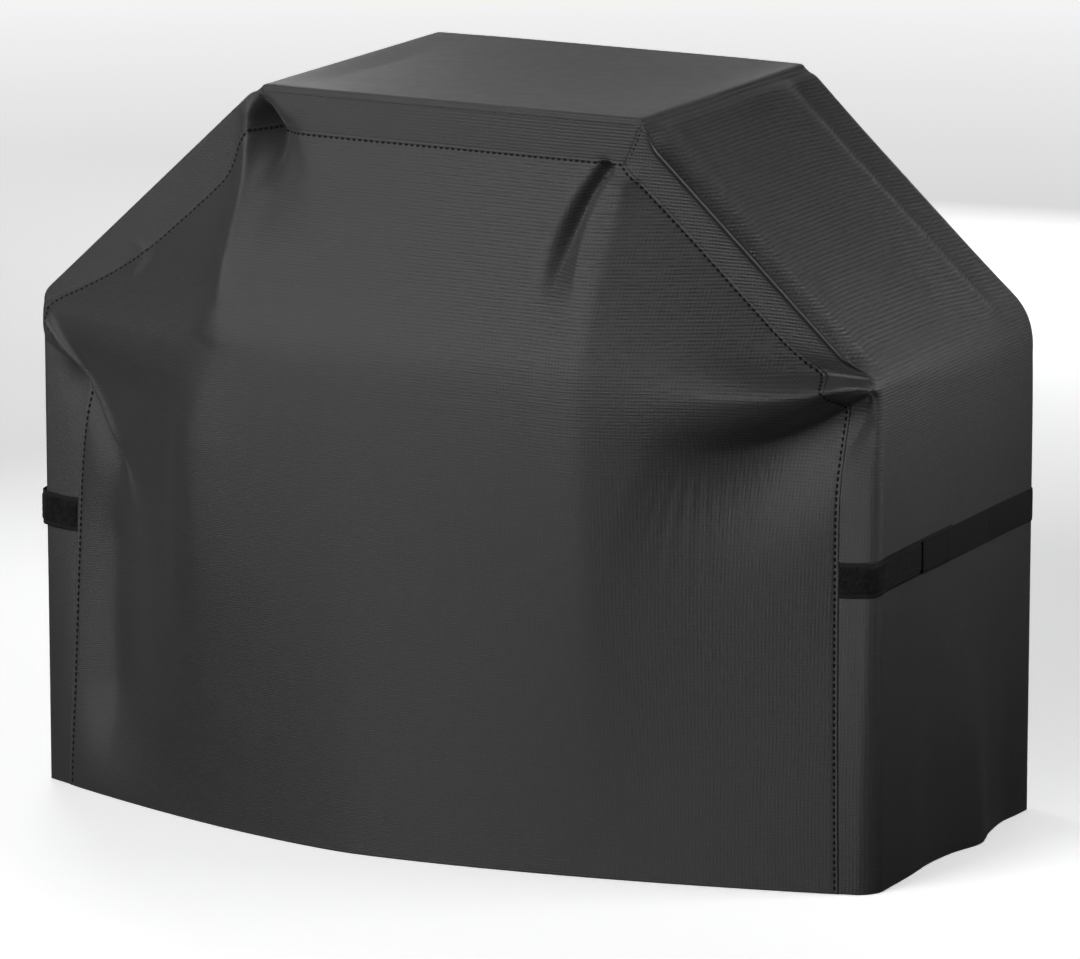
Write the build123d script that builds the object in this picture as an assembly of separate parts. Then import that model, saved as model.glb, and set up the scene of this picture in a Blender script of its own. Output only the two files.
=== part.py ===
from build123d import *
import os

# Fabric cover for a grill: an open-bottomed box with a narrow flat top, sloping shoulders, straight
# sides and a front panel that stands forward. Millimetres. +Z is up, the front faces -Y, and the
# origin is the bottom centre of the whole object's box, on the surface that the hem stands on.

# Overall shape
WIDTH = 1470.0  # across the straight sides
TOP_WIDTH = 670.0  # across the flat top
HEIGHT = 1165.0  # hem to flat top
SHOULDER = 798.0  # height where the sides turn into the slopes
DEPTH = 580.0  # front wraps to rear wraps
EDGE_RADIUS = 20.0  # round along the front and rear edges of the saddle
SHOULDER_RADIUS = 40.0  # round where side meets slope
TOP_RADIUS = 26.0  # round where slope meets top

# Fabric and seams
FABRIC = 1.5  # wall of every panel
PANEL_INSET = 68.0  # edge of the front and back panels, in from the outline
LAP = 12.0  # how far those panels lie over the wraps
SLOPE_LAP = 18.0  # the same lap measured level along the sloping seams
THREAD_INSET = 73.5  # centre of the topstitched row, in from the outline
THREAD_WIDTH = 2.0
THREAD_HEIGHT = 0.6
EDGE_ROW_DROP = 26.0  # topstitched row below the top's front edge
BINDING = 1.0  # thickness of the tapes inside
BINDING_OUTER = 56.0  # seam binding on the wraps, in from the outline
BINDING_INNER = 78.0
TOP_BINDING_REACH = 34.0  # half-size of the square that holds the tape under a top corner
HEM_LOW = 3.0  # hem tape, lower and upper edge
HEM_HIGH = 28.0

# Front panel's forward shape
LIP_HEIGHT = 820.0  # where the panel stands furthest forward
LIP_BULGE = 180.0
HEM_BULGE = 165.0
HEM_POWER = 2.0  # roundness of the panel's plan: 2 is an even arc, more is a flatter front
LIP_POWER = 3.4
LOWER_LEVELS = [0.0, 260.0, 520.0]  # heights of the front panel's sections below the shoulder
UPPER_LEVEL = 950.0  # height of its section between the lip and the top seam
CURVE_STEPS = 5  # points of each level's curve between its middle and its edge

# Straps
STRAP_WIDTH = 52.0
STRAP_THICK = 2.0
STRAP_HEIGHT = {"right": 497.0, "left": 452.0}  # middle of each strap
LOOP_THICK = 1.2  # loop strip on the cover
HOOK_THICK = 1.2  # hook patch under the tab
ROOT_LENGTH = 40.0  # sewn end of the strap, forward of the rear edge
TAB_LENGTH = 100.0
TAB_END = 156.0  # free end of the tab, back from the front edge
LOOP_END = 272.0  # end of the loop strip, back from the front edge
HOOK_MARGIN = 3.0
STITCH_WIDTH = 1.4
STITCH_HEIGHT = 0.5
STITCH_MARGIN = 4.0

REAR_PROUD = STRAP_THICK + STITCH_HEIGHT  # what stands behind the rear wraps
CENTRE_SHIFT = (LIP_BULGE + FABRIC - REAR_PROUD) / 2
FRONT = CENTRE_SHIFT - DEPTH / 2
BACK = CENTRE_SHIFT + DEPTH / 2
HALF = WIDTH / 2
BELOW = 20.0  # how far the cutting shapes reach below the hem


def inset_corners(inset):
    """Half-width and height of the shoulder and of the top corner, drawn in from the outline."""
    run = (WIDTH - TOP_WIDTH) / 2
    rise = HEIGHT - SHOULDER
    slant = (run**2 + rise**2) ** 0.5
    shoulder_drop = inset * (slant - run) / rise
    top_shift = inset * (slant - rise) / run
    shoulder = (HALF - inset, SHOULDER - shoulder_drop)
    top = (TOP_WIDTH / 2 - top_shift, HEIGHT - inset)
    return shoulder, top


def outline(inset, hem=0.0):
    """The cover's front outline as a face in the XZ plane, drawn in by inset."""
    (half, shoulder), (top_half, top) = inset_corners(inset)
    right = [(half, hem), (half, shoulder), (top_half, top)]
    left = [(-x, z) for x, z in reversed(right)]
    face = make_face(Polyline(*right, *left, close=True))
    upper = [v for v in face.vertices() if v.Y > hem + 1]
    shoulders = [v for v in upper if v.Y < top - 1]
    tops = [v for v in upper if v.Y > top - 1]
    face = fillet(shoulders, max(SHOULDER_RADIUS - inset, 1.0))
    tops = [v for v in face.vertices() if v.Y > top - 1]
    face = fillet(tops, max(TOP_RADIUS - inset, 1.0))
    return Plane.XZ * face


def prism(face, start, end):
    """A face of the XZ plane, extruded from Y = start to Y = end."""
    return extrude(Pos(0, start, 0) * face, amount=end - start, dir=(0, 1, 0))


def rounded_prism(inset, hem):
    """The box's outer or inner surface as a solid, with its front and rear edges rounded."""
    body = prism(outline(inset, hem), FRONT + inset, BACK - inset)
    ends = body.faces().sort_by(Axis.Y)
    edges = ends[0].edges() + ends[-1].edges()
    edges = [e for e in edges if e.center().Z > hem + 1]
    return fillet(edges, EDGE_RADIUS - inset)


def saddle():
    """Top, slopes and sides in one skin, with the wraps that turn onto the front and the rear."""
    shell = rounded_prism(0.0, 0.0) - rounded_prism(FABRIC, -BELOW)
    window = prism(outline(PANEL_INSET + LAP, -BELOW), FRONT - BELOW, BACK + BELOW)
    return shell - window


def seam_plane(side):
    """Plane of the mitred seam between the top and one slope, facing outwards."""
    top = inset_corners(0.0)[1]
    inner = inset_corners(PANEL_INSET)[1]
    run, drop = top[0] - inner[0], top[1] - inner[1]
    return Plane(origin=(side * top[0], 0, top[1]), x_dir=(0, 1, 0), z_dir=(side * drop, 0, -run))


def bulge(across, height):
    """How far the front panel stands forward; across is 0 at the middle and 1 at its edge."""
    top = inset_corners(PANEL_INSET + LAP)[1][1]
    share = min(height / LIP_HEIGHT, 1.0)
    power = HEM_POWER + (LIP_POWER - HEM_POWER) * share
    if height > LIP_HEIGHT:
        reach = LIP_BULGE * max(top - height, 0.0) / (top - LIP_HEIGHT)
    else:
        reach = HEM_BULGE + (LIP_BULGE - HEM_BULGE) * share
    return reach * (1 - across**power)


def level_half(height):
    """Half-width of the front panel at a height."""
    (half, shoulder), (top_half, top) = inset_corners(PANEL_INSET)
    if height <= shoulder:
        return half
    return half + (top_half - half) * (height - shoulder) / (top - shoulder)


def front_curve(height, offset):
    """One long edge of a level section of the front panel, as three joined edges."""
    half = level_half(height)
    lap = LAP if height <= inset_corners(PANEL_INSET)[0][1] else SLOPE_LAP
    inner = half - lap
    level = FRONT - offset
    points = []
    for step in range(-CURVE_STEPS, CURVE_STEPS + 1):
        share = step / CURVE_STEPS
        points.append((inner * share, level - bulge(abs(share), height), height))
    ends = [(-half, level, height), (half, level, height)]
    return [Line(ends[0], points[0]), Spline(*points), Line(points[-1], ends[1])], ends


def front_section(height, back_offset, front_offset):
    """Level section of a skin that follows the front panel."""
    back_edges, back_ends = front_curve(height, back_offset)
    front_edges, front_ends = front_curve(height, front_offset)
    sides = [Line(back_ends[0], front_ends[0]), Line(back_ends[1], front_ends[1])]
    return make_face(back_edges + front_edges + sides)


def front_skin(heights, back_offset, front_offset):
    """A skin through the front panel's level sections."""
    sections = [front_section(height, back_offset, front_offset) for height in heights]
    return loft(sections, ruled=True)


def front_panel():
    shoulder = inset_corners(PANEL_INSET)[0][1]
    top = inset_corners(PANEL_INSET)[1][1]
    lap_start = top - LAP
    heights = [*LOWER_LEVELS, shoulder, LIP_HEIGHT, UPPER_LEVEL, lap_start, top]
    return front_skin(heights, 0.0, FABRIC)


def back_panel():
    return prism(outline(PANEL_INSET), BACK, BACK + FABRIC)


def seam_row(surface, outward):
    """The topstitched row that holds a panel's edge to the wraps."""
    outer = outline(THREAD_INSET - THREAD_WIDTH / 2, HEM_LOW)
    inner = outline(THREAD_INSET + THREAD_WIDTH / 2, HEM_LOW - BELOW)
    start, end = sorted([surface, surface + outward * THREAD_HEIGHT])
    return prism(outer, start, end) - prism(inner, start - 1, end + 1)


def top_edge_row():
    """The fine row just below the top's front edge."""
    half = inset_corners(EDGE_ROW_DROP)[1][0] - TOP_RADIUS
    height = HEIGHT - EDGE_ROW_DROP
    return Pos(0, FRONT - THREAD_HEIGHT / 2, height) * Box(2 * half, THREAD_HEIGHT, THREAD_WIDTH)


def seam_binding(surface, inward):
    """Tape inside, behind the wraps' inner edge."""
    hem = HEM_HIGH + 2
    outer = outline(BINDING_OUTER, hem)
    inner = outline(BINDING_INNER, hem - BELOW)
    start, end = sorted([surface, surface + inward * BINDING])
    return prism(outer, start, end) - prism(inner, start - 1, end + 1)


def top_binding(side):
    """Tape inside, under the seam between the top and one slope."""
    start, end = FRONT + 2 * EDGE_RADIUS, BACK - 2 * EDGE_RADIUS
    ring = prism(outline(FABRIC), start, end) - prism(outline(FABRIC + BINDING, -BELOW), start - 1, end + 1)
    corner = Pos(side * TOP_WIDTH / 2, (start + end) / 2, HEIGHT)
    return ring & (corner * Box(2 * TOP_BINDING_REACH, end - start, 2 * TOP_BINDING_REACH))


def front_hem_tape():
    """Tape on the front panel's inner face, between the wraps."""
    half = HALF - PANEL_INSET - LAP - 1
    window = Pos(0, FRONT, (HEM_LOW + HEM_HIGH) / 2) * Box(2 * half, DEPTH, HEM_HIGH - HEM_LOW)
    return front_skin(LOWER_LEVELS[:2], -BINDING, 0.0) & window


def back_hem_tape():
    half = HALF - PANEL_INSET - LAP - 1
    middle = Pos(0, BACK - BINDING / 2, (HEM_LOW + HEM_HIGH) / 2)
    return middle * Box(2 * half, BINDING, HEM_HIGH - HEM_LOW)


def side_hem_tape(side):
    length = DEPTH - 4 * EDGE_RADIUS
    middle = Pos(side * (HALF - FABRIC - BINDING / 2), CENTRE_SHIFT, (HEM_LOW + HEM_HIGH) / 2)
    return middle * Box(BINDING, length, HEM_HIGH - HEM_LOW)


def wrapped_band(thickness, width, height):
    """A band of webbing laid round the whole box at one height, to be cut to length."""
    outer = RectangleRounded(WIDTH + 2 * thickness, DEPTH + 2 * thickness, EDGE_RADIUS + thickness)
    ring = outer - RectangleRounded(WIDTH, DEPTH, EDGE_RADIUS)
    return extrude(Pos(0, CENTRE_SHIFT, height - width / 2) * ring, amount=width)


def span(side, near, far, start, end, low=0.0, high=HEIGHT):
    """A box from |x| = near to far and from Y = start to end, on one side."""
    middle = Pos(side * (near + far) / 2, (start + end) / 2, (low + high) / 2)
    return middle * Box(far - near, end - start, high - low)


PANEL_EDGE = HALF - PANEL_INSET
TAB_TIP = FRONT + TAB_END
TAB_ROOT = TAB_TIP + TAB_LENGTH
STRAP_START = BACK - ROOT_LENGTH
TAB_INNER = HALF + LOOP_THICK + HOOK_THICK
TAB_OUTER = TAB_INNER + STRAP_THICK


def loop_strip(side, height):
    band = wrapped_band(LOOP_THICK, STRAP_WIDTH, height)
    return band & span(side, PANEL_EDGE, HALF + BELOW, FRONT - BELOW, FRONT + LOOP_END)


def strap_root(side, height):
    band = wrapped_band(STRAP_THICK, STRAP_WIDTH, height)
    return band & span(side, PANEL_EDGE, HALF + BELOW, STRAP_START, BACK + BELOW)


def strap(side, height):
    """Straight ribbon from its sewn root to the tab, which lies on the hook patch."""
    corners = [
        (side * HALF, STRAP_START),
        (side * (HALF + STRAP_THICK), STRAP_START),
        (side * TAB_OUTER, TAB_ROOT),
        (side * TAB_INNER, TAB_ROOT),
    ]
    face = make_face(Polyline(*corners, close=True))
    return extrude(Pos(0, 0, height - STRAP_WIDTH / 2) * face, amount=STRAP_WIDTH)


def on_strap(side, near, far, start, end, height, width):
    """A flat piece at a strap's height."""
    return span(side, near, far, start, end, height - width / 2, height + width / 2)


def strap_tab(side, height):
    return on_strap(side, TAB_INNER, TAB_OUTER, TAB_TIP, TAB_ROOT, height, STRAP_WIDTH)


def hook_patch(side, height):
    width = STRAP_WIDTH - 2 * HOOK_MARGIN
    start, end = TAB_TIP + HOOK_MARGIN, TAB_ROOT - HOOK_MARGIN
    return on_strap(side, HALF + LOOP_THICK, TAB_INNER, start, end, height, width)


def stitched_box(side, surface, start, end, height):
    """A rectangular row of stitches on an outer face of a strap."""
    width = STRAP_WIDTH - 2 * STITCH_MARGIN
    low, high = surface, surface + STITCH_HEIGHT
    outer = on_strap(side, low, high, start, end, height, width)
    inner_width = width - 2 * STITCH_WIDTH
    inner = on_strap(side, low - 1, high + 1, start + STITCH_WIDTH, end - STITCH_WIDTH, height, inner_width)
    return outer - inner


def tab_stitches(side, height):
    return stitched_box(side, TAB_OUTER, TAB_TIP + STITCH_MARGIN, TAB_ROOT - STITCH_MARGIN, height)


def loop_stitches(side, height):
    """Two rows along the loop strip's borders, from the front edge to the tab."""
    start, end = FRONT + EDGE_RADIUS, TAB_TIP - 1
    surface = HALF + LOOP_THICK
    rows = []
    for sign in (-1, 1):
        row_height = height + sign * (STRAP_WIDTH / 2 - STITCH_MARGIN)
        rows.append(on_strap(side, surface, surface + STITCH_HEIGHT, start, end, row_height, STITCH_WIDTH))
    return Compound(rows)


def anchor_stitches(side, height):
    """Box of stitches that holds the strap's root beside the rear seam."""
    width = STRAP_WIDTH - 2 * STITCH_MARGIN
    length = HALF - EDGE_RADIUS - PANEL_EDGE - 2 * STITCH_MARGIN
    middle = side * (PANEL_EDGE + STITCH_MARGIN + length / 2)
    surface = BACK + STRAP_THICK + STITCH_HEIGHT / 2
    outer = Box(length, STITCH_HEIGHT, width)
    inner = Box(length - 2 * STITCH_WIDTH, 2 * STITCH_HEIGHT, width - 2 * STITCH_WIDTH)
    frame = outer - inner
    angle = 90 - degrees_of(width - STITCH_WIDTH, length - STITCH_WIDTH)
    reach = ((width - STITCH_WIDTH) ** 2 + (length - STITCH_WIDTH) ** 2) ** 0.5 - 2 * STITCH_WIDTH
    for sign in (-1, 1):
        frame += Rot(0, sign * angle, 0) * Box(STITCH_WIDTH, STITCH_HEIGHT, reach)
    return Pos(middle, surface, height) * frame


def degrees_of(rise, run):
    """Angle of a slope in degrees."""
    return Vector(run, rise, 0).get_angle(Vector(1, 0, 0))


def strap_pieces(name, side):
    """Every piece of one side's strap, named for its side."""
    height = STRAP_HEIGHT[name]
    makers = [loop_strip, strap_root, strap, strap_tab, hook_patch, tab_stitches, loop_stitches, anchor_stitches]
    return {f"{name}_{make.__name__}": make(side, height) for make in makers}


def build():
    skin = saddle()
    right, left = seam_plane(1), seam_plane(-1)
    middle = split(split(skin, right, keep=Keep.BOTTOM), left, keep=Keep.BOTTOM)
    nodes = {
        "top_panel": middle,
        "right_side_panel": split(skin, right, keep=Keep.TOP),
        "left_side_panel": split(skin, left, keep=Keep.TOP),
        "front_panel": front_panel(),
        "back_panel": back_panel(),
        "front_seam_thread": seam_row(FRONT - FABRIC, -1),
        "back_seam_thread": seam_row(BACK + FABRIC, 1),
        "top_edge_thread": top_edge_row(),
        "front_seam_binding": seam_binding(FRONT + FABRIC, 1),
        "back_seam_binding": seam_binding(BACK - FABRIC, -1),
        "right_top_binding": top_binding(1),
        "left_top_binding": top_binding(-1),
        "front_hem_tape": front_hem_tape(),
        "back_hem_tape": back_hem_tape(),
        "right_hem_tape": side_hem_tape(1),
        "left_hem_tape": side_hem_tape(-1),
    }
    nodes.update(strap_pieces("right", 1))
    nodes.update(strap_pieces("left", -1))
    return nodes


os.makedirs("parts", exist_ok=True)
for node, shape in build().items():
    export_step(shape, f"parts/{node}.step")
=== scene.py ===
import bpy
import math
import numpy as np
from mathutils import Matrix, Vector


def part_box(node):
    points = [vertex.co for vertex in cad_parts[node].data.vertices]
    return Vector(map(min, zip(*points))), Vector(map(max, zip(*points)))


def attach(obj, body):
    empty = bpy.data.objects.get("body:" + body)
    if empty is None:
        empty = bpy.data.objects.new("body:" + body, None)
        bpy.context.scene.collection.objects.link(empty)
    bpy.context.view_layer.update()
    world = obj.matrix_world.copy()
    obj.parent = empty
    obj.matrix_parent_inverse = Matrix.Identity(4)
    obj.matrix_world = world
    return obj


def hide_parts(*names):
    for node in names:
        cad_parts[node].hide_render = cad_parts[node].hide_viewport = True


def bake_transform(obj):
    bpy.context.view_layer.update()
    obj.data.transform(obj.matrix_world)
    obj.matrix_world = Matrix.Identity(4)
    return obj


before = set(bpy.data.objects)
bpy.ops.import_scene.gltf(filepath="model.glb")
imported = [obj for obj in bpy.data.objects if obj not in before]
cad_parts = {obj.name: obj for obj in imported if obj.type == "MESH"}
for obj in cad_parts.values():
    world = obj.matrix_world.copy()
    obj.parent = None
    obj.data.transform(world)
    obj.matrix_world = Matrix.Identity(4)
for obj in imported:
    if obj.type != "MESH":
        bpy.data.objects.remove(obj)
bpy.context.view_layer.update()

# ------------------------------ places, from the frame, in metres
side_low, side_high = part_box("right_side_panel")
FRONT = side_low.y  # plane of the front wraps
BACK = side_high.y
MIDDLE = (FRONT + BACK) / 2
DEPTH = BACK - FRONT
HALF = side_high.x  # half-width at the straight sides
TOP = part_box("top_panel")[1].z
SHOULDER = 0.798  # height where the sides turn into the slopes
TOP_HALF = 0.335  # half-width of the flat top

WRAP = 0.092  # width of the wraps under the panels' edges
CLOTH = 0.0010  # thickness of the cloth
LAP_LIFT = 0.0018  # the lapped panels lie this far over the wraps
CELL = 0.0046  # size of the cloth's mesh cells

SIDE_RUN = SHOULDER  # distances along the profile
SLOPE_RUN = math.hypot(HALF - TOP_HALF, TOP - SHOULDER)
PROFILE_RUN = SIDE_RUN + SLOPE_RUN + TOP_HALF  # hem to the middle of the top


# ------------------------------ small maths
def smooth(t):
    """Eased step from 0 to 1."""
    t = np.clip(t, 0, 1)
    return t * t * (3 - 2 * t)


def soft_positive(w, softness):
    """w above zero and zero below it, with a rounded turn."""
    return (w + np.sqrt(w * w + softness * softness)) / 2


def bump(t, width, power=2.0):
    """A hill of height 1 at t = 0."""
    return np.exp(-np.abs(t / width) ** power)


def curve_points(points, count=40):
    """A smooth curve through given points, as many short steps."""
    points = np.array(points, float)
    if len(points) < 3:
        share = np.linspace(0, 1, count)[:, None]
        return points[0] + (points[-1] - points[0]) * share
    ends = np.vstack([2 * points[0] - points[1], points, 2 * points[-1] - points[-2]])
    out = []
    per_span = max(2, count // (len(points) - 1))
    for i in range(len(points) - 1):
        p0, p1, p2, p3 = ends[i : i + 4]
        for t in np.linspace(0, 1, per_span, endpoint=False):
            a = 2 * p1 + (p2 - p0) * t + (2 * p0 - 5 * p1 + 4 * p2 - p3) * t * t
            out.append((a + (3 * p1 - p0 - 3 * p2 + p3) * t**3) / 2)
    out.append(points[-1])
    return np.array(out)


def fold(x, z, path, height, left, right, power=2.0, fade=(0.15, 0.3), spread=(1.0, 1.0)):
    """A raised fold (or a hollow, if height is negative) along a path in a panel's plane.

    left and right are its widths on the two sides of the path, looking along it; spread scales them at
    its two ends, and fade is the share of its length over which each end dies away.
    """
    line = curve_points(path)
    start, step = line[:-1], np.diff(line, axis=0)
    length = np.maximum(np.hypot(step[:, 0], step[:, 1]), 1e-9)
    before = np.concatenate([[0], np.cumsum(length)])
    total = before[-1]
    best = np.full(x.shape, 1e9)
    along = np.zeros(x.shape)
    side = np.zeros(x.shape)
    for i in range(len(start)):
        dx, dz = x - start[i, 0], z - start[i, 1]
        t = np.clip((dx * step[i, 0] + dz * step[i, 1]) / length[i] ** 2, 0, 1)
        gap = np.hypot(dx - t * step[i, 0], dz - t * step[i, 1])
        near = gap < best
        best = np.where(near, gap, best)
        along = np.where(near, (before[i] + t * length[i]) / total, along)
        side = np.where(near, step[i, 0] * dz - step[i, 1] * dx, side)
    width = np.where(side > 0, left, right) * (spread[0] + (spread[1] - spread[0]) * along)
    strength = np.ones(x.shape)
    if fade[0] > 0:
        strength = strength * smooth(along / fade[0])
    if fade[1] > 0:
        strength = strength * smooth((1 - along) / fade[1])
    return height * strength * bump(best, width, power)


# ------------------------------ seams
SEAM_TOP = 1.097  # height of the seam under the top's wraps
# Each seam's edge, by height and place across
LEFT_SEAM = [
    (0.0, -0.684), (0.30, -0.676), (0.47, -0.669), (0.60, -0.661), (0.67, -0.662), (0.70, -0.680),
    (0.73, -0.706), (0.76, -0.722), (0.778, -0.723), (0.796, -0.700), (0.814, -0.664), (0.834, -0.626),
    (0.857, -0.587), (0.885, -0.545), (0.948, -0.470), (1.005, -0.407), (1.035, -0.386), (1.070, -0.371),
    (1.097, -0.352),
]
RIGHT_SEAM = [
    (0.0, 0.682), (0.306, 0.676), (0.616, 0.670), (0.739, 0.667), (0.768, 0.660), (0.794, 0.642),
    (0.821, 0.609), (0.882, 0.541), (0.976, 0.439), (1.041, 0.366), (1.097, 0.300),
]
BACK_SEAM = [
    (0.0, 0.667), (0.30, 0.666), (0.60, 0.668), (0.72, 0.666), (0.762, 0.660), (0.80, 0.630),
    (0.90, 0.521), (1.00, 0.412), (1.097, 0.306),
]


def edge_of(points, hand=1):
    """A function that gives the seam's place at each height."""
    heights, halves = curve_points(points, 240).T
    return lambda z: hand * np.interp(z, heights, halves)


FRONT_EDGES = (edge_of(LEFT_SEAM), edge_of(RIGHT_SEAM))
BACK_EDGES = (edge_of(BACK_SEAM, -1), edge_of(BACK_SEAM))


def covered(x, z, edges):
    """1 where the wraps lie under a lapped panel, away from its edge."""
    inside = np.minimum(np.minimum(x - edges[0](z), edges[1](z) - x), SEAM_TOP - z)
    return smooth((inside - 0.002) / 0.008)


# ------------------------------ how the front stands forward
HEM_BULGE = 0.163  # how far the hem stands forward at its peak
HEM_PEAK = -0.09  # the hem's foremost point, left of the middle
HEM_POWER = 1.55  # roundness of the hem's plan
LIP_BULGE = 0.180
LIP = 0.815  # height of the lip, where something inside pushes the panel forward
LIP_SOFTNESS = 0.13  # roundness of the turn at the lip
LIP_TO_HEM = 0.85  # height over which the lip's plan turns into the hem's
LIP_HALF = 0.312  # half-width of the flat middle at the lip
LEFT_SPREAD = 0.055  # the middle reaches this much further left below the lip
CORNER_REACH = 0.035  # the flanks reach this far past the seams, out to the shoulders
CORNER_HEIGHT = 0.74
PANEL_TOP = SEAM_TOP - 0.006  # where the panel starts to slope forward


def outline_half(z):
    """Half-width of the cover's outline at height z."""
    share = np.clip((z - SHOULDER) / (TOP - SHOULDER), 0, 1)
    return HALF + (TOP_HALF - HALF) * share


def hem_plan(x):
    """How far the hem stands forward."""
    reach = np.where(x < HEM_PEAK, HALF + HEM_PEAK, HALF - HEM_PEAK)
    return HEM_BULGE * (1 - np.clip(np.abs(x - HEM_PEAK) / reach, 0, 1) ** HEM_POWER)


def flanked(x, flat_half, edge, softness):
    """1 over the flat middle, falling straight to 0 at the edge."""
    span = np.maximum(edge - flat_half, 0.02)
    fall = soft_positive((np.abs(x) - flat_half) / span, softness)
    start = soft_positive(-flat_half / span, softness)
    return np.clip(1 - fall + start, 0, 1)


def base_front(x, z):
    """The front's large shape: a slope down to the lip, flat flanks, and an arc at the hem."""
    down = (PANEL_TOP - z) / (PANEL_TOP - LIP)
    reach = LIP_BULGE * (np.clip(down, 0, None) - soft_positive(down - 1, LIP_SOFTNESS))
    edge = np.where(x < 0, -FRONT_EDGES[0](z), FRONT_EDGES[1](z)) - 0.004
    edge = edge + CORNER_REACH * bump(z - CORNER_HEIGHT, 0.05)
    flat_half = LIP_HALF + np.where(x < 0, LEFT_SPREAD * smooth((LIP + 0.02 - z) / 0.25), 0)
    upper = reach * flanked(x, flat_half, np.maximum(edge, flat_half + 0.02), 0.05)
    share = smooth((LIP - z) / LIP_TO_HEM)
    return upper * (1 - share) + hem_plan(x) * share


FRONT_FOLDS = [
    # left top corner: a ridge that carries on down the flank's edge, and the pocket and slit beside it
    dict(path=[(-0.343, 1.150), (-0.350, 1.110), (-0.350, 1.060), (-0.343, 1.010), (-0.334, 0.950),
               (-0.322, 0.80)],
         height=0.017, left=0.012, right=0.018, power=1.5, fade=(0.10, 0.35), spread=(0.8, 1.5)),
    dict(path=[(-0.332, 1.152), (-0.322, 1.112), (-0.308, 1.079), (-0.296, 1.045), (-0.284, 0.996),
               (-0.270, 0.915)],
         height=-0.024, left=0.030, right=0.032, power=1.6, fade=(0.40, 0.75), spread=(0.40, 2.2)),
    dict(path=[(-0.334, 1.150), (-0.324, 1.116), (-0.311, 1.082), (-0.301, 1.050), (-0.294, 1.005)],
         height=-0.055, left=0.009, right=0.015, power=1.2, fade=(0.30, 0.65), spread=(0.80, 1.6)),
    dict(path=[(-0.296, 1.125), (-0.280, 1.082), (-0.252, 1.035), (-0.226, 0.987)],
         height=-0.005, left=0.012, right=0.012, power=2.0, fade=(0.25, 0.60), spread=(0.8, 1.8)),
    # small knuckle where the left ridge meets the lip
    dict(path=[(-0.336, 0.850), (-0.342, 0.815), (-0.350, 0.780)],
         height=0.004, left=0.045, right=0.016, power=2.0, fade=(0.4, 0.4)),
    # left ridge below the lip, and the broad hollow beside it
    dict(path=[(-0.345, 0.79), (-0.372, 0.69), (-0.390, 0.60), (-0.398, 0.49), (-0.402, 0.33), (-0.40, 0.10)],
         height=0.010, left=0.100, right=0.030, power=2.0, fade=(0.25, 0.55), spread=(0.8, 1.5)),
    dict(path=[(-0.575, 0.62), (-0.585, 0.50), (-0.592, 0.40), (-0.595, 0.28), (-0.590, 0.12), (-0.585, 0.0)],
         height=-0.046, left=0.105, right=0.055, power=2.0, fade=(0.35, 0.30), spread=(0.9, 1.1)),
    # right top corner: a crescent hollow and the ridge beside it
    dict(path=[(0.279, 1.097), (0.264, 1.069), (0.251, 1.040), (0.242, 1.005), (0.238, 0.970), (0.238, 0.925),
               (0.246, 0.870)],
         height=-0.037, left=0.014, right=0.010, power=1.6, fade=(0.06, 0.60), spread=(0.75, 1.6)),
    dict(path=[(0.300, 1.090), (0.286, 1.066), (0.277, 1.040), (0.271, 1.005), (0.272, 0.970), (0.278, 0.925),
               (0.292, 0.850)],
         height=0.010, left=0.034, right=0.010, power=1.7, fade=(0.12, 0.50), spread=(0.7, 1.3)),
    # right shoulder: a tight fold pulled to the corner, with a crease above and a large hollow below
    dict(path=[(0.735, 0.790), (0.700, 0.785), (0.660, 0.780), (0.615, 0.773), (0.540, 0.768), (0.457, 0.772),
               (0.370, 0.785)],
         height=0.016, left=0.010, right=0.010, power=1.5, fade=(0.0, 0.65), spread=(0.55, 3.4)),
    dict(path=[(0.728, 0.795), (0.674, 0.797), (0.619, 0.798), (0.559, 0.804), (0.505, 0.815), (0.44, 0.830)],
         height=-0.026, left=0.007, right=0.016, power=1.7, fade=(0.08, 0.75), spread=(0.7, 2.6)),
    dict(path=[(0.728, 0.781), (0.705, 0.772), (0.672, 0.750), (0.618, 0.716), (0.540, 0.682), (0.465, 0.672),
               (0.390, 0.690)],
         height=-0.058, left=0.075, right=0.026, power=1.8, fade=(0.12, 0.60), spread=(0.25, 2.1)),
    # left shoulder: a sharp fold across the seam, and the dark crease below it
    dict(path=[(-0.722, 0.768), (-0.702, 0.748), (-0.669, 0.712), (-0.628, 0.664), (-0.588, 0.617),
               (-0.553, 0.570), (-0.526, 0.52)],
         height=0.016, left=0.007, right=0.014, power=1.2, fade=(0.05, 0.35), spread=(0.8, 1.4)),
    dict(path=[(-0.696, 0.712), (-0.660, 0.672), (-0.622, 0.622), (-0.584, 0.562), (-0.560, 0.505),
               (-0.545, 0.45)],
         height=-0.034, left=0.016, right=0.030, power=1.6, fade=(0.20, 0.45), spread=(0.6, 1.8)),
    dict(path=[(-0.712, 0.742), (-0.680, 0.705), (-0.640, 0.656), (-0.600, 0.608), (-0.564, 0.560),
               (-0.54, 0.52)],
         height=-0.020, left=0.006, right=0.007, power=2.0, fade=(0.15, 0.35)),
    # small triangular fold beside the left slope's seam
    dict(path=[(-0.532, 0.893), (-0.545, 0.862), (-0.556, 0.835)],
         height=0.006, left=0.010, right=0.020, power=1.6, fade=(0.2, 0.5)),
]


def front_relief(x, z):
    """How far the front's cloth stands forward of the wraps' plane."""
    out = base_front(x, z)
    for f in FRONT_FOLDS:
        out = out + fold(x, z, **f)
    return out


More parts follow.
